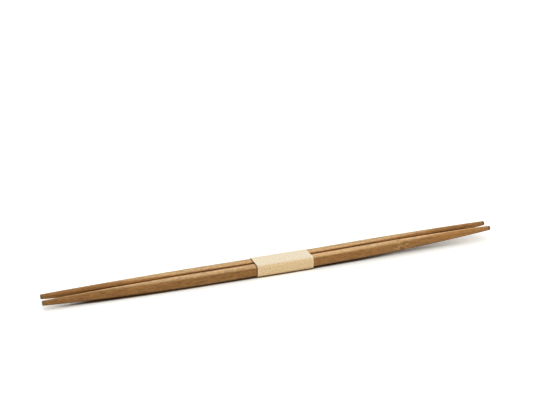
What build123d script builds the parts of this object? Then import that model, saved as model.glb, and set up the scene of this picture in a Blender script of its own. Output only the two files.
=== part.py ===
from build123d import *
import math
import os

# A pair of bamboo chopsticks, squarish in the middle and tapered to a round tip at both ends, lying side by
# side and held together by a paper band that is wrapped round the middle and glued on the underside.
# Millimetres. +X runs along the sticks, +Y from the front stick to the back one, +Z up.
# The origin is on the surface that the band rests on, under the middle of the pair.

# Bamboo sticks
stick_length = 240.0
stick_width = 5.45
stick_height = 5.45
edge_radius = 1.1  # rounding of the long edges in the middle
taper_length = 75.0  # each end, from the middle section to the tip
taper_power = 2.44  # a higher power keeps the taper fuller and steepens it at the tip
tip_diameter = 2.4
tip_roundness = 0.97  # share of a full round that the tip's section reaches
tip_edge = 0.35  # easing of the cut ends
front_bow = 1.45  # natural bend: how far the tips rise above the middle
back_bow = 1.9
lean = 1.0  # the pair leans to the left: its left tips lie lower by this and its right tips higher
stick_gap = 0.55  # between the two sticks' inner faces
taper_stops = 12  # short straight spans that follow the taper's curve to a hundredth of a millimetre

# Paper band
paper_thickness = 0.18
band_length = 30.0
lap_width = 7.0  # glued overlap on the underside
wrap_clearance = 0.06  # between the paper and the bamboo

# Worked out from the sizes above
stick_offset = (stick_width + stick_gap) / 2
axis_half = stick_length / 2 - tip_edge
lean_in_band = lean * band_length / (2 * axis_half)
stick_bottom = 2 * paper_thickness + wrap_clearance + lean_in_band
axis_height = stick_bottom + stick_height / 2
shoulder = (taper_length - tip_edge) / (2 * axis_half)  # where a taper starts, as a share of the axis


def bow_rise(bow, x):
    """Height of the bent axis at x above its middle."""
    bend_radius = (axis_half**2 + bow**2) / (2 * bow)
    return bend_radius - math.sqrt(bend_radius**2 - x**2)


def section_plane(axis, place):
    """Plane square to the axis at a share of its length, with the section's width along +Y."""
    return Plane(origin=axis @ place, x_dir=(0, 1, 0), z_dir=axis % place)


def stick_section(along_taper):
    """Width, height and corner radius, from 0 at the start of a taper to 1 at its tip."""
    thinned = along_taper**taper_power
    width = stick_width + (tip_diameter - stick_width) * thinned
    height = stick_height + (tip_diameter - stick_height) * thinned
    middle_roundness = 2 * edge_radius / min(stick_width, stick_height)
    eased = math.sin(along_taper * math.pi / 2)
    roundness = middle_roundness + (tip_roundness - middle_roundness) * eased
    return width, height, roundness * min(width, height) / 2


def bamboo_stick(centre_y, bow):
    """One stick: a squarish middle along the bent axis, with a taper and an eased cut end on each side."""
    axis = ThreePointArc(
        (-axis_half, centre_y, axis_height + bow - lean),
        (0, centre_y, axis_height),
        (axis_half, centre_y, axis_height + bow + lean),
    )
    with BuildPart() as stick:
        # The middle keeps one section
        with BuildSketch(section_plane(axis, shoulder)):
            RectangleRounded(*stick_section(0))
        sweep(path=axis.trim(shoulder, 1 - shoulder))

        for end, outward in ((0, -1), (1, 1)):
            # The taper thins and turns round on its way to the tip
            for stop in range(taper_stops + 1):
                along_taper = stop / taper_stops
                inward = shoulder * (1 - along_taper)
                with BuildSketch(section_plane(axis, end - outward * inward)):
                    RectangleRounded(*stick_section(along_taper))
            loft(ruled=True)

            # The cut end is eased all round
            width, height, corner = stick_section(1)
            tip_plane = section_plane(axis, end)
            with BuildSketch(tip_plane):
                RectangleRounded(width, height, corner)
            with BuildSketch(tip_plane.offset(outward * tip_edge)):
                RectangleRounded(width - 2 * tip_edge, height - 2 * tip_edge, corner - tip_edge)
            loft()
    return stick


front_stick = bamboo_stick(-stick_offset, front_bow)
back_stick = bamboo_stick(stick_offset, back_bow)

# Paper band: one strip that starts inside the lap, goes up the back, over the top, down the front and ends
# outside the lap, so the front rests on one layer of paper and the glued lap is two layers thick
room_for_bow = bow_rise(max(front_bow, back_bow), band_length / 2) + lean_in_band
inside_half_width = stick_offset + stick_width / 2 + wrap_clearance
inside_top = axis_height + stick_height / 2 + room_for_bow + wrap_clearance
inside_fold = edge_radius + wrap_clearance
outside_half_width = inside_half_width + paper_thickness
outside_top = inside_top + paper_thickness
outside_fold = inside_fold + paper_thickness

with BuildPart() as paper_band:
    with BuildSketch(Plane.YZ):
        with BuildLine():
            outside = FilletPolyline(
                (lap_width / 2, 0),
                (-outside_half_width, 0),
                (-outside_half_width, outside_top),
                (outside_half_width, outside_top),
                (outside_half_width, paper_thickness),
                (lap_width / 2, paper_thickness),
                radius=outside_fold,
            )
            Line(outside @ 1, outside @ 0)
        make_face()
        with BuildLine():
            inside = FilletPolyline(
                (-lap_width / 2, paper_thickness),
                (-inside_half_width, paper_thickness),
                (-inside_half_width, inside_top),
                (inside_half_width, inside_top),
                (inside_half_width, 2 * paper_thickness),
                (-lap_width / 2, 2 * paper_thickness),
                radius=inside_fold,
            )
            Line(inside @ 1, inside @ 0)
        make_face(mode=Mode.SUBTRACT)
    extrude(amount=band_length / 2, both=True)

front_stick.part.label = "front_stick"
back_stick.part.label = "back_stick"
paper_band.part.label = "paper_band"

os.makedirs("parts", exist_ok=True)
export_step(front_stick.part, "parts/front_stick.step")
export_step(back_stick.part, "parts/back_stick.step")
export_step(paper_band.part, "parts/paper_band.step")
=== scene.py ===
"""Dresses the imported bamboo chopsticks: two tapered sticks held by a paper band, on a white studio floor."""

import logging
import math
from dataclasses import dataclass, field
from enum import Enum
from typing import Any, Union

import bpy
import numpy as np
from mathutils import Matrix, Vector, noise

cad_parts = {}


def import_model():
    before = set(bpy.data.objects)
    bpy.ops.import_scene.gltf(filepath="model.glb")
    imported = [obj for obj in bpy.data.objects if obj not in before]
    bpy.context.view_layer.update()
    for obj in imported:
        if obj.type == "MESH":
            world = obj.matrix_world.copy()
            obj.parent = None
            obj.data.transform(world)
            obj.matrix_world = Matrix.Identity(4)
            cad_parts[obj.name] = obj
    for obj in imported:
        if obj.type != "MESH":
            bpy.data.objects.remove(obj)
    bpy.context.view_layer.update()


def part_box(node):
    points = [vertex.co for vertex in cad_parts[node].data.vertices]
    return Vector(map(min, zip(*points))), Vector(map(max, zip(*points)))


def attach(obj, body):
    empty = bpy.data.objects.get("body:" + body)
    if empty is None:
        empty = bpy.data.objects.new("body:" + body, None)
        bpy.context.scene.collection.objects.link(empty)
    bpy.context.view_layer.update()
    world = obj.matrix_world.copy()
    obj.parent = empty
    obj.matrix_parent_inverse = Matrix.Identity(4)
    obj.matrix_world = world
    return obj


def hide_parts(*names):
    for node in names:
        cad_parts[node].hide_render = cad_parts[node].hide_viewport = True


MM = 0.001  # metres in a millimetre
SHARP_ANGLE = math.radians(50)  # edges that turn by more than this stay crisp

log = logging.getLogger("chopsticks")

Colour = tuple[float, float, float, float]
Amount = Union["Signal", float]
Paint = Union["Signal", Colour]
Axes = tuple["Signal", "Signal", "Signal"]
Faces = list[tuple[int, ...]]


class Slot(Enum):
    """The record's material slots."""

    BAMBOO = "bamboo"
    PAPER = "band_paper"


def display_colour(red: int, green: int, blue: int) -> Colour:
    """Turns an eight-bit display colour into a linear one.

    Args:
        red: Red, from 0 to 255.
        green: Green, from 0 to 255.
        blue: Blue, from 0 to 255.

    Returns:
        The linear colour, with full alpha.
    """
    shares = [channel / 255 for channel in (red, green, blue)]
    linear = [s / 12.92 if s <= 0.04045 else ((s + 0.055) / 1.055) ** 2.4 for s in shares]
    return (*linear, 1.0)


class Signal:
    """A node's output. Sums with plain numbers or other signals add Math nodes."""

    def __init__(self, graph: "NodeGraph", socket: bpy.types.NodeSocket) -> None:
        """Wraps a socket of a graph."""
        self.graph = graph
        self.socket = socket

    def _math(self, operation: str, first: Amount, second: Amount) -> "Signal":
        """Adds one Math node."""
        return self.graph.signal("ShaderNodeMath", {"operation": operation}, {0: first, 1: second})

    def __add__(self, other: Amount) -> "Signal":
        """Sum."""
        return self._math("ADD", self, other)

    def __radd__(self, other: Amount) -> "Signal":
        """Sum with a number on the left."""
        return self._math("ADD", other, self)

    def __sub__(self, other: Amount) -> "Signal":
        """Difference."""
        return self._math("SUBTRACT", self, other)

    def __rsub__(self, other: Amount) -> "Signal":
        """Difference from a number on the left."""
        return self._math("SUBTRACT", other, self)

    def __mul__(self, other: Amount) -> "Signal":
        """Product."""
        return self._math("MULTIPLY", self, other)

    def __rmul__(self, other: Amount) -> "Signal":
        """Product with a number on the left."""
        return self._math("MULTIPLY", other, self)

    def __truediv__(self, other: Amount) -> "Signal":
        """Quotient."""
        return self._math("DIVIDE", self, other)

    def __rpow__(self, other: Amount) -> "Signal":
        """A number on the left, raised to this power."""
        return self._math("POWER", other, self)

    def __abs__(self) -> "Signal":
        """Size without sign."""
        return self._math("ABSOLUTE", self, 0.0)

    def centred(self) -> "Signal":
        """Moves a mask from 0 to 1 down, so that its middle is at 0."""
        return self - 0.5

    def step(self, low: float, high: float) -> "Signal":
        """A smooth step from 0 at low to 1 at high."""
        sockets = {"Value": self, "From Min": low, "From Max": high}
        return self.graph.signal("ShaderNodeMapRange", {"interpolation_type": "SMOOTHSTEP"}, sockets)

    def bell(self, centre: float, reach: float) -> "Signal":
        """A bell curve, 1 at centre and fading over reach."""
        away = (self - centre) / reach
        return math.e ** (0 - away * away)


class NodeGraph:
    """The nodes of one material or world."""

    def __init__(self, owner: bpy.types.Material | bpy.types.World) -> None:
        """Turns on a material's or world's nodes and empties them.

        Args:
            owner: The material or world.
        """
        owner.use_nodes = True
        self.tree = owner.node_tree
        self.tree.nodes.clear()

    def add(
        self, kind: str, settings: dict[str, Any] | None = None, sockets: dict[Any, Any] | None = None
    ) -> bpy.types.Node:
        """Adds any node.

        Args:
            kind: The node's type.
            settings: Properties of the node, set before its sockets.
            sockets: Values or signals for its inputs, by name or place.

        Returns:
            The new node.
        """
        node = self.tree.nodes.new(kind)
        for name, value in (settings or {}).items():
            setattr(node, name, value)
        for key, value in (sockets or {}).items():
            if isinstance(value, Signal):
                self.tree.links.new(value.socket, node.inputs[key])
            else:
                node.inputs[key].default_value = value
        return node

    def signal(
        self,
        kind: str,
        settings: dict[str, Any] | None = None,
        sockets: dict[Any, Any] | None = None,
        output: str | int = 0,
    ) -> Signal:
        """Adds any node and gives one of its outputs.

        Args:
            kind: The node's type.
            settings: Properties of the node, set before its sockets.
            sockets: Values or signals for its inputs, by name or place.
            output: Name or place of the output.

        Returns:
            The output.
        """
        return Signal(self, self.add(kind, settings, sockets).outputs[output])

    def split(self, vector: Signal) -> Axes:
        """Splits a vector into its three values."""
        parts = self.add("ShaderNodeSeparateXYZ", sockets={0: vector})
        return tuple(Signal(self, socket) for socket in parts.outputs)

    def axes(self, attribute: str) -> Axes:
        """Reads a mesh's vector attribute as three signals."""
        return self.split(self.signal("ShaderNodeAttribute", {"attribute_name": attribute}, output="Vector"))

    def amount(self, attribute: str) -> Signal:
        """Reads a mesh's number attribute."""
        return self.signal("ShaderNodeAttribute", {"attribute_name": attribute}, output="Fac")

    def vector(self, x: Amount, y: Amount, z: Amount) -> Signal:
        """Joins three values into a vector."""
        return self.signal("ShaderNodeCombineXYZ", sockets={0: x, 1: y, 2: z})

    def tint(self, share: Amount, first: Paint, second: Paint) -> Signal:
        """Mixes two colours, from the first at 0 to the second at 1."""
        sockets = {0: share, 6: first, 7: second}
        return self.signal("ShaderNodeMix", {"data_type": "RGBA"}, sockets, output=2)

    def shade(self, colour: Paint, brightness: Signal) -> Signal:
        """Multiplies a colour by a brightness.

        Args:
            colour: The colour.
            brightness: The brightness, 1 for no change.

        Returns:
            The brighter or darker colour.
        """
        grey = self.vector(brightness, brightness, brightness)
        settings = {"data_type": "RGBA", "blend_type": "MULTIPLY"}
        return self.signal("ShaderNodeMix", settings, {0: 1.0, 6: colour, 7: grey}, output=2)

    def bump(self, height: Signal, depth: float, strength: float) -> Signal:
        """Tilts the surface by a height map."""
        sockets = {"Height": height, "Distance": depth, "Strength": strength}
        return self.signal("ShaderNodeBump", sockets=sockets)

    def surface(self, shader: Signal) -> None:
        """Shows a shader on the material's surface."""
        self.add("ShaderNodeOutputMaterial", sockets={"Surface": shader})


@dataclass(frozen=True)
class Marks:
    """Cloudy marks in a material: their shape, and what they do to its brightness and relief."""

    stretch: tuple[float, float, float]  # along, across and up, before the scale
    scale: float
    detail: float
    roughness: float = 0.55
    low: float = 0.3  # noise below this leaves no mark
    high: float = 0.7  # noise above this leaves a full one
    tone: float = 0.0  # gain in brightness
    relief: float = 0.0  # height in the bump

    def noise(self, graph: NodeGraph, place: Axes, seed: float = 0.0) -> Signal:
        """Lays out the noise that the marks are cut from.

        Args:
            graph: The material's nodes.
            place: Millimetres along, across and up.
            seed: Shifts the noise.

        Returns:
            The noise, about 0.5 on average.
        """
        along, across, up = (axis * share for axis, share in zip(place, self.stretch))
        sockets = {
            "Vector": graph.vector(along, across, up + seed),
            "Scale": self.scale,
            "Detail": self.detail,
            "Roughness": self.roughness,
        }
        return graph.signal("ShaderNodeTexNoise", sockets=sockets)

    def mask(self, graph: NodeGraph, place: Axes, seed: float = 0.0) -> Signal:
        """Cuts the marks from their noise, from 0 to 1."""
        return self.noise(graph, place, seed).step(self.low, self.high)


@dataclass(frozen=True)
class Overlay:
    """A colour that is laid over another one: the wood's and paper's own marks, and painted light and shade.
    """

    colour: Colour
    share: float  # how much of it shows where its mask is full

    def over(self, colour: Paint, mask: Signal) -> Signal:
        """Lays the colour over another one where a mask says."""
        return mask.graph.tint(mask * self.share, colour, self.colour)


LONG_GRAIN = (0.016, 1.0, 1.0)  # fibres are about sixty times as long as they are thick
# Dark fibres, and also the colour of the painted shadow by the paper's edge
DARK_FIBRE_AND_SHADOW = display_colour(92, 54, 18)


@dataclass(frozen=True)
class BambooFinish:
    """Steamed bamboo: long fibres and dark bundles, paler on the skin side, with grey-brown cut ends.

    It is a solid texture in the stick's own straightened millimetres, so a taper cuts through its layers. The
    pale skin side on top is partly painted light, and the finish also paints shade in the groove and under the
    stick, a shadow by the paper's left edge, light from the floor low on the sides and a light line along the
    top edge.
    """

    name: str
    seed: float  # shifts the whole texture
    knot: float  # place of the culm's knot along the stick
    knot_share: float  # how strongly it shows
    tone_drift: float  # gain in brightness per millimetre along the stick
    skin_start: float  # height in the stick at which the pale skin side starts
    skin_full: float
    top_edge_light: Overlay  # painted light line along the top edge: a highlight on the front stick, a greyer shade on the back stick
    top_edge_light_place: float  # from -1 at the stick's outer side to 1 at the side that faces the other stick
    groove_shade_start: float  # the same, where the painted groove shade starts
    groove_shade_full: float

    # The culm's pale skin side on top and darker heart on the sides; part of the difference is painted light,
    # the lit top against the sides in shade.
    skin: Colour = display_colour(201, 161, 111)
    heart: Colour = display_colour(161, 115, 64)
    inner: Overlay = Overlay(display_colour(80, 40, 5), 0.92)  # painted shade in the groove, on the side that faces the other stick
    groove_half_shade: Overlay = Overlay(display_colour(168, 104, 36), 0.6)  # painted warm half-shade next to the groove shade
    low: Overlay = Overlay(display_colour(142, 118, 84), 0.45)  # painted light from the white floor, greyer low on the sides
    under_shade: Overlay = Overlay(display_colour(74, 52, 28), 0.4)  # painted shade on the underside
    band_shadow: Overlay = Overlay(DARK_FIBRE_AND_SHADOW, 0.7)  # painted shadow: dark line along the paper's left edge
    knot_pale: Overlay = Overlay(display_colour(212, 168, 108), 0.75)
    knot_dark: Overlay = Overlay(DARK_FIBRE_AND_SHADOW, 0.55)
    end_grain: Colour = display_colour(126, 113, 89)
    right_end_dark: Overlay = Overlay(display_colour(88, 74, 52), 0.8)  # darker towards the right end

    streaks: Marks = Marks(LONG_GRAIN, 1.5, 4.0, 0.6, low=0.32, high=0.68, tone=0.26, relief=0.5)
    fibres: Marks = Marks(LONG_GRAIN, 6.5, 3.0, 0.65, tone=0.24, relief=0.6)
    dashes: Marks = Marks((0.1, 1.0, 1.0), 4.5, 2.0, low=0.58, relief=-0.3)
    mottle: Marks = Marks((0.16, 0.7, 0.7), 1.0, 4.0, tone=0.14)
    flecks: Marks = Marks((0.35, 1.6, 1.6), 1.3, 2.0, tone=0.44)
    speckles: Marks = Marks((0.8, 2.4, 2.4), 1.6, 2.0, tone=0.5)  # on the skin side
    feathers: Marks = Marks((8.0, 0.2, 0.3), 1.0, 4.0, 0.7, low=0.42, high=0.58)  # at the knot
    darkest: float = 0.51  # brightness where no mark shows
    skin_fibre_tone: float = 0.2  # of the fibres, added on the skin side

    bundle_scale: float = 1.9
    bundle_core: float = 0.1
    bundle_rim: float = 0.34
    bundle_share: float = 0.3
    bundle_relief: float = 0.3
    dash_share: float = 0.45
    top_edge_light_reach: float = 0.16
    top_full: float = -0.9  # how far a face points down: only faces that look up get the painted light line
    top_end: float = -0.3
    under_shade_start: float = 0.15
    under_shade_full: float = 0.8
    floor_light_full: float = -2.4  # heights in the stick, between which the painted floor light fades out
    floor_light_end: float = -0.9
    band_shadow_gap: float = 0.25  # from the paper's edge
    band_shadow_reach: float = 0.28
    knot_reach: float = 5.0
    knot_slope: float = 0.22  # how far the fibres turn aside there
    fan_reach: float = 6.5  # from the point that the knot's streaks fan out from to the knot's middle
    fan_slope: float = 0.12  # down to the right
    fan_core: float = 1.0  # keeps them apart at that point
    groove_shade_fade: float = 35.0  # from the tip, where the painted groove shade starts to fade
    groove_shade_gone: float = 2.0
    end_start: float = 1.3  # from the tip, where the cut end's colour starts
    end_full: float = 0.6
    end_share: float = 0.95
    right_end_dark_start: float = 2.0

    roughness: float = 0.5
    rough_gain: float = 0.2  # on streaks and on the cut ends
    specular: float = 0.16
    bump_depth: float = 0.03 * MM
    bump_strength: float = 0.7

    def material(self, half_length: float, paper_edge: float) -> bpy.types.Material:
        """Builds the material.

        Args:
            half_length: Half the stick's length in millimetres.
            paper_edge: Place of the paper's left edge along the stick in millimetres.

        Returns:
            The new material.
        """
        material = bpy.data.materials.new(self.name)
        graph = NodeGraph(material)
        place = graph.axes("grain")
        along, across, up = place
        inward, downward = graph.amount("inward"), graph.amount("downward")

        near_knot = along.bell(self.knot, self.knot_reach)
        aside = self.knot_slope * (near_knot * (along - self.knot))
        fibre_place = along, across - aside, up + aside
        streaks = self.streaks.mask(graph, fibre_place, self.seed)
        fibres = self.fibres.mask(graph, fibre_place, self.seed)
        dashes = self.dashes.mask(graph, fibre_place, self.seed)
        bundles = self.bundles(graph, fibre_place)

        # The culm's layers, then painted light and shade: a light line along the top edge, shade in the groove
        # and under the stick, floor light low on the sides and a shadow by the paper's edge, with the dark
        # fibre bundles among them
        skin_share = up.step(self.skin_start, self.skin_full)
        colour = graph.tint(skin_share, self.heart, self.skin)
        looks_up = 1 - downward.step(self.top_full, self.top_end)
        colour = self.top_edge_light.over(colour, inward.bell(self.top_edge_light_place, self.top_edge_light_reach) * looks_up)
        before_tips = 1 - abs(along).step(half_length - self.groove_shade_fade, half_length - self.groove_shade_gone)
        groove_half_shade_start = 2 * self.groove_shade_start - self.groove_shade_full
        colour = self.groove_half_shade.over(colour, inward.step(groove_half_shade_start, self.groove_shade_start) * before_tips)
        colour = self.inner.over(colour, inward.step(self.groove_shade_start, self.groove_shade_full) * before_tips)
        colour = self.low.over(colour, 1 - up.step(self.floor_light_full, self.floor_light_end))
        colour = self.under_shade.over(colour, downward.step(self.under_shade_start, self.under_shade_full))
        colour = graph.tint(bundles * self.bundle_share + dashes * self.dash_share, colour, DARK_FIBRE_AND_SHADOW)
        colour = self.band_shadow.over(colour, along.bell(paper_edge - self.band_shadow_gap, self.band_shadow_reach))

        brightness = self.darkest + along * self.tone_drift
        brightness = brightness + streaks * self.streaks.tone + fibres * self.fibres.tone
        for marks in (self.mottle, self.flecks):
            brightness = brightness + marks.mask(graph, place, self.seed) * marks.tone
        speckles = self.speckles.mask(graph, place, self.seed).centred() * self.speckles.tone
        brightness = brightness + skin_share * (speckles + fibres.centred() * self.skin_fibre_tone)
        colour = graph.shade(colour, brightness)

        # The knot and the cut ends
        feathers = self.knot_feathers(graph, place)
        at_knot = near_knot * self.knot_share
        colour = self.knot_pale.over(colour, at_knot * feathers)
        colour = self.knot_dark.over(colour, at_knot * (1 - feathers))
        cut_end = abs(along).step(half_length - self.end_start, half_length - self.end_full)
        end_share = cut_end * (self.end_share - bundles * self.bundle_share)
        colour = graph.tint(end_share, colour, self.end_grain)
        right_end = along.step(half_length - self.right_end_dark_start, half_length - self.end_full)
        colour = self.right_end_dark.over(colour, right_end)

        height = fibres * self.fibres.relief + streaks * self.streaks.relief
        height = height + dashes * self.dashes.relief - bundles * self.bundle_relief
        sockets = {
            "Base Color": colour,
            "Roughness": self.roughness + (streaks + cut_end) * self.rough_gain,
            "Specular IOR Level": self.specular,
            "Normal": graph.bump(height, self.bump_depth, self.bump_strength),
        }
        graph.surface(graph.signal("ShaderNodeBsdfPrincipled", sockets=sockets))
        return material

    def bundles(self, graph: NodeGraph, fibre_place: Axes) -> Signal:
        """Scatters the dark fibre bundles that run along the culm.

        Args:
            graph: The material's nodes.
            fibre_place: Millimetres along, across and up, following the fibres.

        Returns:
            A mask of the bundles.
        """
        along, across, up = (axis * share for axis, share in zip(fibre_place, LONG_GRAIN))
        place = graph.vector(along, across, up + self.seed)
        sockets = {"Vector": place, "Scale": self.bundle_scale}
        from_core = graph.signal("ShaderNodeTexVoronoi", sockets=sockets)
        return 1 - from_core.step(self.bundle_core, self.bundle_rim)

    def knot_feathers(self, graph: NodeGraph, place: Axes) -> Signal:
        """Draws the streaks that fan out where the fibres cross at the knot.

        Args:
            graph: The material's nodes.
            place: Millimetres along, across and up.

        Returns:
            A mask of the pale streaks.
        """
        along, across, up = place
        beyond = along - self.knot
        from_point = abs(beyond + self.fan_reach) + self.fan_core
        spread = (up + beyond * self.fan_slope) / from_point
        return self.feathers.mask(graph, (spread, beyond, across), self.seed)


@dataclass(frozen=True)
class PaperFinish:
    """Cream wrapping paper: matt, cloudy, with fine fibres and flecks, a painted sheen where it faces up, and
    a paler cut edge that is partly the paper's white core and partly a painted highlight.
    """

    name: str = "cream_paper"
    face: Colour = display_colour(247, 215, 164)
    sheened: Colour = display_colour(238, 223, 194)  # painted sheen, where the paper faces up
    fleck: Overlay = Overlay(display_colour(205, 172, 122), 0.3)
    # Paler cut edge: partly the paper's white core, partly a painted highlight.
    cut: Overlay = Overlay(display_colour(246, 234, 208), 0.65)

    clouds: Marks = Marks((1.0, 1.0, 1.0), 0.5, 4.0, 0.6, tone=0.1)
    pulp: Marks = Marks((1.0, 1.0, 1.0), 1.6, 4.0, 0.7, tone=0.48, relief=0.7)
    laid: Marks = Marks((0.4, 2.5, 1.0), 2.2, 3.0, tone=0.08, relief=0.4)
    flecks: Marks = Marks((1.1, 2.6, 1.0), 2.4, 1.0, low=0.66, high=0.76)
    fleck_seed: float = 4.0
    darkest: float = 0.67  # brightness where no mark shows
    sheen_start: float = 0.55  # how far a face points up
    sheen_full: float = 1.02
    sheen_clouds: float = 0.15  # how much the clouds break up the painted sheen

    roughness: float = 0.74
    rough_gain: float = 0.14  # on the pulp
    specular: float = 0.25
    bump_depth: float = 0.03 * MM
    bump_strength: float = 0.6

    def material(self) -> bpy.types.Material:
        """Builds the material.

        Returns:
            The new material.
        """
        material = bpy.data.materials.new(self.name)
        graph = NodeGraph(material)
        place = graph.axes("sheet")
        clouds = self.clouds.noise(graph, place)
        pulp = self.pulp.noise(graph, place)
        laid = self.laid.noise(graph, place)

        _, _, facing_up = graph.split(graph.signal("ShaderNodeNewGeometry", output="Normal"))
        sheened = (facing_up + clouds.centred() * self.sheen_clouds).step(self.sheen_start, self.sheen_full)
        colour = graph.tint(sheened, self.face, self.sheened)
        colour = self.fleck.over(colour, self.flecks.mask(graph, place, self.fleck_seed))
        brightness = self.darkest + clouds * self.clouds.tone + laid * self.laid.tone
        brightness = brightness + pulp.step(self.pulp.low, self.pulp.high) * self.pulp.tone
        colour = self.cut.over(graph.shade(colour, brightness), graph.amount("cut_edge"))

        height = pulp * self.pulp.relief + laid * self.laid.relief
        sockets = {
            "Base Color": colour,
            "Roughness": self.roughness + pulp * self.rough_gain,
            "Specular IOR Level": self.specular,
            "Normal": graph.bump(height, self.bump_depth, self.bump_strength),
        }
        graph.surface(graph.signal("ShaderNodeBsdfPrincipled", sockets=sockets))
        return material


@dataclass(frozen=True)
class Waves:
    """Smooth noise over a surface."""

    stretch: tuple[float, float, float]  # waves per millimetre along each axis
    seed: float = 0.0

    def at(self, places: np.ndarray, shift: float = 0.0) -> np.ndarray:
        """Works out the noise at many places.

        Args:
            places: Places in millimetres, one to a row.
            shift: Added to the seed.

        Returns:
            A value from about -1 to 1 for each place.
        """
        scaled = places * np.array(self.stretch) + (self.seed + shift)
        return np.array([noise.noise(Vector(place)) for place in scaled])

    def share(self, places: np.ndarray, shift: float = 0.0) -> np.ndarray:
        """The same, from about 0 to 1."""
        return 0.5 + 0.5 * self.at(places, shift)


def smooth_step(values: np.ndarray, low: float, high: float) -> np.ndarray:
    """A smooth step from 0 at low to 1 at high."""
    share = np.clip((values - low) / (high - low), 0, 1)
    return share * share * (3 - 2 * share)


def make_object(
    name: str, points: np.ndarray, faces: Faces, material: bpy.types.Material
) -> bpy.types.Object:
    """Makes a smooth mesh object with crisp edges.

    Args:
        name: The object's name.
        points: Its points in metres, one to a row.
        faces: Point numbers of each face.
        material: Its only material.

    Returns:
        The new object, linked to the scene.
    """
    mesh = bpy.data.meshes.new(name)
    mesh.from_pydata(points.tolist(), [], faces)
    mesh.validate()
    mesh.polygons.foreach_set("use_smooth", np.ones(len(mesh.polygons), bool))
    mesh.set_sharp_from_angle(angle=SHARP_ANGLE)
    mesh.materials.append(material)
    thing = bpy.data.objects.new(name, mesh)
    bpy.context.scene.collection.objects.link(thing)
    return thing


def add_vectors(thing: bpy.types.Object, name: str, values: np.ndarray) -> None:
    """Stores a vector for each point of a mesh."""
    attribute = thing.data.attributes.new(name, "FLOAT_VECTOR", "POINT")
    attribute.data.foreach_set("vector", values.astype(np.float32).ravel())


def add_amounts(thing: bpy.types.Object, name: str, values: np.ndarray) -> None:
    """Stores a number for each point of a mesh."""
    attribute = thing.data.attributes.new(name, "FLOAT", "POINT")
    attribute.data.foreach_set("value", values.astype(np.float32))


def mount(thing: bpy.types.Object, node: str) -> None:
    """Lets a piece stand for a CAD node.

    Args:
        thing: The piece.
        node: The node that it replaces.
    """
    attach(thing, "root")
    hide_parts(node)


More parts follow.
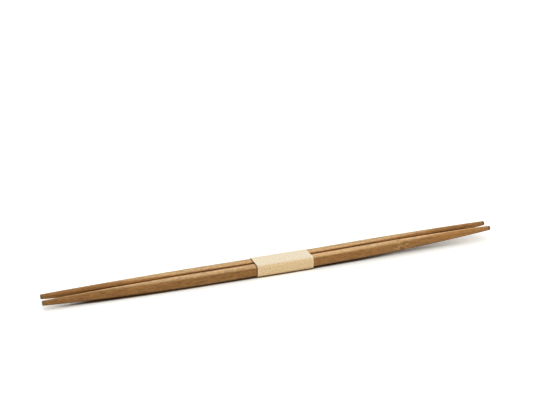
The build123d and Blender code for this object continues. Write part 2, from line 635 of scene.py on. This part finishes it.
@dataclass
class BambooStick:
    """One stick, squarish in the middle and tapered to round tips, along a slightly bent axis."""

    node: str
    bow: float  # how far the tips rise above the middle
    finish: BambooFinish
    band_node: str = "paper_band"
    lean: float = 1.0 * MM  # the left tip lies lower by this, and the right tip higher
    length: float = 240 * MM
    width: float = 5.45 * MM
    height: float = 5.45 * MM
    edge_radius: float = 1.1 * MM
    taper_length: float = 75 * MM
    taper_power: float = 2.44
    tip_diameter: float = 2.4 * MM
    tip_roundness: float = 0.97
    tip_edge: float = 0.35 * MM

    rings: int = 520
    corner_points: int = 10
    side_points: int = 12
    end_rings: int = 6
    cap_rings: int = 5

    relief: float = 0.02 * MM  # depth of the surface relief, of which the next values are shares
    fibre_depth: float = 0.6
    planing_depth: float = 1.1
    mean_depth: float = 0.6
    scar_depth: float = 2.2
    most_proud: float = 0.5
    scar_reach: float = 0.7  # millimetres on each side of the knot's scar
    scar_slope: float = 0.3  # how far it leans along the stick
    fibre_waves: Waves = Waves((0.04, 2.6, 2.6))
    planing_waves: Waves = Waves((0.05, 0.3, 0.3), 11)
    scar_waves: Waves = Waves((0.2, 1.5, 1.5), 23)

    centre_y: float = field(init=False)
    bottom: float = field(init=False)  # under the middle of the stick
    paper_edge: float = field(init=False)  # left edge of the band

    def __post_init__(self) -> None:
        """Takes the stick's place and the band's from the frame."""
        low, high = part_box(self.node)
        self.centre_y = (low.y + high.y) / 2
        self.bottom = low.z + self.lean**2 / (4 * self.bow)
        self.paper_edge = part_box(self.band_node)[0].x

    @property
    def axis_half(self) -> float:
        """Half the length of the axis, which ends where the eased ends start."""
        return self.length / 2 - self.tip_edge

    def stations(self) -> tuple[np.ndarray, np.ndarray]:
        """Places the rings from one end to the other.

        Returns:
            Distance along the axis, and how far the ring is drawn in from the section's outline.
        """
        body = np.linspace(-self.axis_half, self.axis_half, self.rings)
        turn = np.linspace(0, math.pi / 2, self.end_rings + 1)[1:]
        over = self.axis_half + self.tip_edge * np.sin(turn)
        drawn_in = self.tip_edge * (1 - np.cos(turn))
        along = np.concatenate([-over[::-1], body, over])
        inset = np.concatenate([drawn_in[::-1], np.zeros(self.rings), drawn_in])
        return along, inset

    def sections(self, along: np.ndarray) -> np.ndarray:
        """Works out the section at each ring.

        Args:
            along: Distance along the axis.

        Returns:
            Width, height and corner radius, one row each.
        """
        start = self.length / 2 - self.taper_length
        share = np.clip((np.abs(along) - start) / (self.axis_half - start), 0, 1)
        thinned = share**self.taper_power
        width = self.width + (self.tip_diameter - self.width) * thinned
        height = self.height + (self.tip_diameter - self.height) * thinned
        middle = 2 * self.edge_radius / min(self.width, self.height)
        roundness = middle + (self.tip_roundness - middle) * np.sin(share * math.pi / 2)
        return np.array([width, height, roundness * np.minimum(width, height) / 2])

    def outline(self) -> tuple[np.ndarray, np.ndarray]:
        """Lays points round a rounded rectangle, to be scaled to any section.

        Returns:
            For each point, the place of its corner's centre and its outward direction, both as shares.
        """
        centres, outward = [], []
        signs = [(1, 1), (-1, 1), (-1, -1), (1, -1)]
        for corner, sign in enumerate(signs):
            follow = signs[(corner + 1) % len(signs)]
            first = corner * math.pi / 2
            for angle in np.linspace(first, first + math.pi / 2, self.corner_points):
                centres.append(sign)
                outward.append((math.cos(angle), math.sin(angle)))
            for share in np.linspace(0, 1, self.side_points + 2)[1:-1]:
                centres.append(np.array(sign) * (1 - share) + np.array(follow) * share)
                outward.append(outward[-1])
        return np.array(centres, float), np.array(outward, float)

    def layers(self, centres: np.ndarray, outward: np.ndarray) -> tuple[np.ndarray, np.ndarray]:
        """Lays rings of points on the straightened stick, from inside one cut end to inside the other.

        Args:
            centres: The outline's corner centres, as shares.
            outward: The outline's outward directions.

        Returns:
            Points by ring and place round it, and the section's width at each ring.
        """
        along, inset = self.stations()
        sections = self.sections(along)
        widths, heights, radii = sections[:, :, None]
        reach = np.maximum(radii - inset[:, None], 0)
        across = centres[:, 0] * (widths / 2 - radii) + outward[:, 0] * reach
        up = centres[:, 1] * (heights / 2 - radii) + outward[:, 1] * reach
        rings = np.stack([np.broadcast_to(along[:, None], across.shape), across, up], axis=-1)

        shrink = np.array([(1, share, share) for share in np.linspace(1, 0, self.cap_rings + 1)[1:-1]])
        shrink = shrink[:, None]
        points = np.concatenate([rings[0] * shrink[::-1], rings, rings[-1] * shrink])
        return points, np.pad(sections[0], len(shrink), mode="edge")

    @staticmethod
    def skin(rings: int, count: int) -> Faces:
        """Joins rings of points into a closed skin, with a pole at each end.

        Args:
            rings: How many rings there are.
            count: How many points each has.

        Returns:
            Point numbers of each face. The poles' numbers follow those of the rings.
        """
        last = (rings - 1) * count
        start_pole, end_pole = rings * count, rings * count + 1
        pairs = [(i, (i + 1) % count) for i in range(count)]
        faces = [
            (low + i, low + count + i, low + count + j, low + j)
            for low in range(0, last, count)
            for i, j in pairs
        ]
        faces += [(start_pole, i, j) for i, j in pairs]
        faces += [(end_pole, last + j, last + i) for i, j in pairs]
        return faces

    def surface_relief(self, grain: np.ndarray) -> np.ndarray:
        """Cuts fibres, plane marks and the knot's scar into the surface.

        Args:
            grain: Straightened places in millimetres.

        Returns:
            Height at each place in metres, mostly inward and never more than a hair outward.
        """
        seed = self.finish.seed
        fibre = self.fibre_depth * self.fibre_waves.at(grain, seed)
        planing = self.planing_depth * self.planing_waves.at(grain, seed)
        from_scar = grain[:, 0] - self.finish.knot - self.scar_slope * grain[:, 2]
        scar = np.exp(-((from_scar / self.scar_reach) ** 2)) * self.scar_waves.share(grain, seed)
        height = fibre + planing - self.mean_depth - self.scar_depth * scar
        return self.relief * np.minimum(height, self.most_proud)

    def bend(self, straight: np.ndarray) -> np.ndarray:
        """Bends straightened places along the stick's axis.

        Args:
            straight: Places along, across and up from the axis.

        Returns:
            Places in the frame.
        """
        centre_up = (self.axis_half**2 + self.bow**2 + self.lean**2) / (2 * self.bow)
        centre_along = self.lean * (self.bow - centre_up) / self.axis_half
        radius = math.hypot(centre_up, centre_along)
        angle = straight[:, 0] / radius - math.asin(centre_along / radius)
        reach = radius - straight[:, 2]
        x = centre_along + reach * np.sin(angle)
        z = self.bottom + self.height / 2 + centre_up - reach * np.cos(angle)
        return np.column_stack([x, straight[:, 1] + self.centre_y, z])

    def build(self) -> bpy.types.Object:
        """Builds and dresses the stick.

        Returns:
            The stick's object.
        """
        centres, outward = self.outline()
        layers, widths = self.layers(centres, outward)
        rings, count, _ = layers.shape
        poles = layers[[0, -1], 0] * (1, 0, 0)
        straight = np.concatenate([layers.reshape(-1, 3), poles])
        facing = np.concatenate([np.tile(outward, (rings, 1)), np.zeros((len(poles), 2))])
        half_widths = np.append(np.repeat(widths / 2, count), np.ones(len(poles)))

        relief = self.surface_relief(straight / MM)
        on_wall = np.abs(straight[:, 0]) <= self.axis_half
        carved = straight.copy()
        carved[:, 1:] += facing * np.where(on_wall, relief, 0)[:, None]
        carved[:, 0] += np.sign(straight[:, 0]) * np.where(on_wall, 0, np.minimum(relief, 0))

        material = self.finish.material(self.length / 2 / MM, self.paper_edge / MM)
        thing = make_object(self.node + "_bamboo", self.bend(carved), self.skin(rings, count), material)
        add_vectors(thing, "grain", straight / MM)
        add_amounts(thing, "inward", -np.sign(self.centre_y) * straight[:, 1] / half_widths)
        add_amounts(thing, "downward", -facing[:, 1])
        mount(thing, self.node)
        return thing


@dataclass
class PaperBand:
    """One strip of paper, wrapped round the middle of the pair and glued to itself on the underside."""

    node: str
    finish: PaperFinish
    thickness: float = 0.18 * MM
    shown: float = 0.97  # share of the thickness, so that the two layers of the lap stay apart
    lap: float = 7 * MM
    fold_radius: float = 1.25 * MM  # at the middle of the paper
    grid: float = 0.25 * MM
    fold_steps: int = 10

    spring: float = 0.05 * MM  # how far the paper stands off between its folds
    lift_share: float = 0.7
    flare_share: float = 0.8  # at the paper's edges
    flare_even: float = 0.6
    flare_uneven: float = 0.4
    ragged: float = 0.03 * MM  # how uneven the cut edges are
    trim: float = 0.02 * MM  # how far they are drawn in
    lift_waves: Waves = Waves((0.11, 0.16, 1.0), 3.0)
    flare_waves: Waves = Waves((0.05, 0.35, 1.0), 9.0)
    ragged_waves: Waves = Waves((0.0, 1.3, 1.0), 17.0)

    # Millimetres
    free_start: float = 1.2  # height above which the paper starts to stand off
    free_full: float = 2.4
    flare_reach: float = 0.8  # in from a cut edge
    ragged_reach: float = 0.3
    cut_reach: float = 0.12
    worn_reach: float = 0.9
    worn_share: float = 0.4

    low: Vector = field(init=False)
    high: Vector = field(init=False)

    def __post_init__(self) -> None:
        """Takes the band's box from the frame."""
        self.low, self.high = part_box(self.node)

    def path(self) -> tuple[np.ndarray, np.ndarray]:
        """Follows the middle of the paper from the lap's inner end, up the back and round to its outer end.

        Returns:
            Points and outward directions across and up, one to a row.
        """
        half = self.thickness / 2
        front, back, top = self.low.y + half, self.high.y - half, self.high.z - half
        inner, outer = self.thickness + half, half
        lap_end = self.lap / 2
        sides = [(back, inner), (back, top), (front, top), (front, outer)]
        corners = np.array([(-lap_end, inner), *sides, (lap_end, outer)])
        points, normals = [], []
        for i in range(len(corners) - 1):
            folds_next = i < len(corners) - 2
            run = corners[i + 1] - corners[i]
            run_length = float(np.linalg.norm(run))
            ahead = run / run_length
            normal = np.array([ahead[1], -ahead[0]])
            start = self.fold_radius if i else 0.0
            stop = run_length - (self.fold_radius if folds_next else 0.0)
            for reach in np.linspace(start, stop, max(2, round((stop - start) / self.grid))):
                points.append(corners[i] + ahead * reach)
                normals.append(normal)
            if folds_next:
                turn_centre = points[-1] - normal * self.fold_radius
                for angle in np.linspace(0, math.pi / 2, self.fold_steps + 1)[1:-1]:
                    direction = normal * math.cos(angle) + ahead * math.sin(angle)
                    points.append(turn_centre + direction * self.fold_radius)
                    normals.append(direction)
        return np.array(points), np.array(normals)

    def settle(
        self, middle: np.ndarray, facing: np.ndarray, flat: np.ndarray, from_edge: np.ndarray
    ) -> np.ndarray:
        """Lets the paper stand off between its folds and flare at its cut edges, which are a little ragged.

        Args:
            middle: Places on the middle of the paper.
            facing: Outward directions there.
            flat: The same places on the flat sheet in millimetres.
            from_edge: Millimetres from the nearer cut edge.

        Returns:
            The moved places.
        """
        free = smooth_step(middle[:, 2] / MM, self.free_start, self.free_full)
        uneven = self.flare_even + self.flare_uneven * self.flare_waves.at(flat)
        flare = self.flare_share * np.exp(-from_edge / self.flare_reach) * uneven
        lift = self.lift_share * self.lift_waves.share(flat)
        moved = middle + facing * (self.spring * free * (lift + flare))[:, None]
        at_edge = np.exp(-from_edge / self.ragged_reach)
        cut = at_edge * (self.ragged * self.ragged_waves.at(flat) - self.trim)
        moved[:, 0] += np.sign(middle[:, 0]) * cut
        return moved

    @staticmethod
    def skin(rows: int, columns: int) -> Faces:
        """Joins an outer and an inner grid of points, and closes the rim between them.

        Args:
            rows: Rows of points round the band.
            columns: Points in each row, along the band.

        Returns:
            Point numbers of each face. The inner grid's numbers follow the outer grid's.
        """
        inner = rows * columns
        last = inner - columns
        faces = []
        for start in range(0, last, columns):
            for a in range(start, start + columns - 1):
                quad = (a, a + 1, a + 1 + columns, a + columns)
                faces.append(quad)
                faces.append(tuple(i + inner for i in reversed(quad)))
        rim = [(start, start + columns) for start in range(0, last, columns)]
        rim += [(b + columns - 1, a + columns - 1) for a, b in rim]
        rim += [(c + 1, c) for c in range(columns - 1)]
        rim += [(c, c + 1) for c in range(last, last + columns - 1)]
        return faces + [(a, b, b + inner, a + inner) for a, b in rim]

    def build(self) -> bpy.types.Object:
        """Builds and dresses the band.

        Returns:
            The band's object.
        """
        points, normals = self.path()
        around = np.concatenate([[0], np.cumsum(np.linalg.norm(np.diff(points, axis=0), axis=1))])
        columns = round((self.high.x - self.low.x) / self.grid) + 1
        along = np.linspace(self.low.x, self.high.x, columns)
        flat = np.array([(x, u, 0) for u in around for x in along]) / MM
        middle = np.array([(x, *point) for point in points for x in along])
        facing = np.array([(0, *normal) for normal in normals for _ in along])
        from_edge = np.minimum(middle[:, 0] - self.low.x, self.high.x - middle[:, 0]) / MM

        settled = self.settle(middle, facing, flat, from_edge)
        half = facing * self.thickness / 2 * self.shown
        both = np.concatenate([settled + half, settled - half])
        faces = self.skin(len(points), columns)
        thing = make_object(self.node + "_paper", both, faces, self.finish.material())
        add_vectors(thing, "sheet", np.concatenate([flat, flat]))
        cut_edge = np.exp(-((from_edge / self.cut_reach) ** 2))
        cut_edge += self.worn_share * np.exp(-((from_edge / self.worn_reach) ** 2))
        add_amounts(thing, "cut_edge", np.concatenate([cut_edge, cut_edge]))
        mount(thing, self.node)
        return thing


@dataclass(frozen=True)
class PhotoCamera:
    """The camera of the reference picture, found from the sticks' tips and the band's corners."""

    picture_width: int = 556
    picture_height: int = 417
    focal_length_px: float = 950.0
    elevation: float = math.radians(25.22)
    left_turn: float = math.radians(20.93)  # from straight in front of the sticks
    distance: float = 484.1 * MM
    origin_px: tuple[float, float] = (281.8, 268.6)  # where the frame's origin falls in the picture
    sensor_width: float = 36.0
    nearest: float = 10 * MM  # that it shows

    def place(self) -> bpy.types.Object:
        """Adds the camera and makes it the scene's.

        Returns:
            The camera's object.
        """
        level = math.cos(self.elevation)
        back = Vector(
            (-math.sin(self.left_turn) * level, -math.cos(self.left_turn) * level, math.sin(self.elevation))
        )
        right = Vector((0, 0, 1)).cross(back).normalized()
        up = back.cross(right)
        ahead = -back

        yaw = math.atan((self.origin_px[0] - self.picture_width / 2) / self.focal_length_px)
        drop = (self.origin_px[1] - self.picture_height / 2) / self.focal_length_px
        pitch = math.atan(-drop * math.cos(yaw))
        turned_up = up * math.cos(pitch) + ahead * math.sin(pitch)
        level_ahead = ahead * math.cos(pitch) - up * math.sin(pitch)
        turned_right = right * math.cos(yaw) + level_ahead * math.sin(yaw)
        turned_back = right * math.sin(yaw) - level_ahead * math.cos(yaw)

        lens = bpy.data.cameras.new("photo_camera")
        lens.sensor_width = self.sensor_width
        lens.lens = self.focal_length_px * self.sensor_width / self.picture_width
        lens.clip_start = self.nearest
        camera = bpy.data.objects.new("photo_camera", lens)
        rotation = Matrix((turned_right, turned_up, turned_back)).transposed().to_4x4()
        camera.matrix_world = Matrix.Translation(back * self.distance) @ rotation
        bpy.context.scene.collection.objects.link(camera)
        bpy.context.scene.camera = camera
        return camera


@dataclass(frozen=True)
class Lamp:
    """A soft lamp, far enough away to light the whole floor evenly."""

    name: str
    direction: tuple[float, float, float]  # from the sticks towards the lamp
    spread: float
    share: float  # of a white floor's full brightness

    def place(self) -> None:
        """Adds the lamp."""
        towards = Vector(self.direction).normalized()
        light = bpy.data.lights.new(self.name, "SUN")
        light.energy = self.share * math.pi / towards.z
        light.angle = self.spread
        lamp = bpy.data.objects.new(self.name, light)
        lamp.rotation_euler = towards.to_track_quat("Z", "Y").to_euler()
        bpy.context.scene.collection.objects.link(lamp)


@dataclass
class Studio:
    """A white floor under a soft lamp, with a dim room round it."""

    floor_half: float = 4.0
    floor_lit: Colour = (0.93, 0.93, 0.93, 1.0)  # the white that lights the pieces from below
    floor_seen: Colour = (1.22, 1.24, 1.2, 1.0)  # as the camera sees it, a little over-exposed
    left_rise: float = 0.006  # slope of the floor, up to the left of the band
    clear: float = 0.1 * MM  # under the middle of the band
    contact_shadow: Colour = (0.17, 0.1, 0.045, 1.0)  # painted contact shadow on the floor, in the narrow slot under a piece
    contact_reach: float = 1.8 * MM
    contact_full: float = 0.38  # share of the sky that is open there
    contact_end: float = 0.9
    contact_samples: int = 16
    lamp: Lamp = Lamp("overhead_softbox", (0.2, 0.25, 1.0), math.radians(160), 0.74)
    room: float = 0.28
    room_white: Colour = (1.0, 1.0, 1.0, 1.0)
    room_start: float = 0.1  # heights of the view between which the room reaches its full brightness
    room_full: float = 0.35

    def floor_material(self) -> bpy.types.Material:
        """Builds a matt white that keeps its shadows, with a painted contact shadow in the narrow slots under
        the pieces.

        Returns:
            The new material.
        """
        material = bpy.data.materials.new("studio_white")
        graph = NodeGraph(material)
        open_share = graph.signal(
            "ShaderNodeAmbientOcclusion",
            {"samples": self.contact_samples},
            {"Distance": self.contact_reach},
            output="AO",
        )
        in_the_open = open_share.step(self.contact_full, self.contact_end)
        lit_colour = graph.tint(in_the_open, self.contact_shadow, self.floor_lit)
        seen_colour = graph.tint(in_the_open, self.contact_shadow, self.floor_seen)
        lit = graph.signal("ShaderNodeBsdfDiffuse", sockets={"Color": lit_colour})
        shown = graph.signal("ShaderNodeBsdfDiffuse", sockets={"Color": seen_colour})
        seen = graph.signal("ShaderNodeLightPath", output="Is Camera Ray")
        graph.surface(graph.signal("ShaderNodeMixShader", sockets={0: seen, 1: lit, 2: shown}))
        return material

    def build(self) -> None:
        """Adds the floor, the lamp and the room's light."""
        half = self.floor_half
        heights = ((-half, half * self.left_rise), (0.0, 0.0), (half, 0.0))
        corners = np.array([(x, y, z - self.clear) for x, z in heights for y in (-half, half)])
        make_object("studio_floor", corners, [(0, 2, 3, 1), (2, 4, 5, 3)], self.floor_material())
        self.lamp.place()

        world = bpy.data.worlds.new("studio_room")
        graph = NodeGraph(world)
        seen = graph.signal("ShaderNodeLightPath", output="Is Camera Ray")
        _, _, level = graph.split(graph.signal("ShaderNodeTexCoord", output="Generated"))
        ambient = self.room * level.step(self.room_start, self.room_full)
        sockets = {"Color": self.room_white, "Strength": ambient + (1.0 - ambient) * seen}
        room = graph.signal("ShaderNodeBackground", sockets=sockets)
        graph.add("ShaderNodeOutputWorld", sockets={"Surface": room})
        bpy.context.scene.world = world


def main() -> None:
    """Builds the pieces, the studio and the camera."""
    logging.basicConfig(level=logging.INFO, format="%(message)s")
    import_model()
    bpy.context.scene.view_settings.view_transform = "Standard"

    front_finish = BambooFinish(
        "front_bamboo",
        seed=3.7,
        knot=64.7,
        knot_share=1.0,
        tone_drift=0.0014,
        skin_start=2.05,
        skin_full=2.65,
        # painted highlight along the front stick's top edge
        top_edge_light=Overlay(display_colour(240, 205, 155), 0.55),
        top_edge_light_place=0.1,
        # where the painted groove shade falls on the front stick
        groove_shade_start=0.43,
        groove_shade_full=0.62,
    )
    back_finish = BambooFinish(
        "back_bamboo",
        seed=21.3,
        knot=84.0,
        knot_share=0.3,
        tone_drift=0.0003,
        skin_start=2.2,
        skin_full=2.72,
        # painted greyer shade along the back stick's top edge
        top_edge_light=Overlay(display_colour(150, 134, 104), 0.55),
        top_edge_light_place=-0.68,
        # where the painted groove shade falls on the back stick
        groove_shade_start=0.86,
        groove_shade_full=0.97,
    )
    pieces = [
        BambooStick("front_stick", bow=1.45 * MM, finish=front_finish),
        BambooStick("back_stick", bow=1.9 * MM, finish=back_finish),
        PaperBand("paper_band", finish=PaperFinish()),
    ]
    for piece in pieces:
        thing = piece.build()
        log.info("%s: %d faces", thing.name, len(thing.data.polygons))
    Studio().build()
    PhotoCamera().place()


if __name__ == "__main__":
    main()
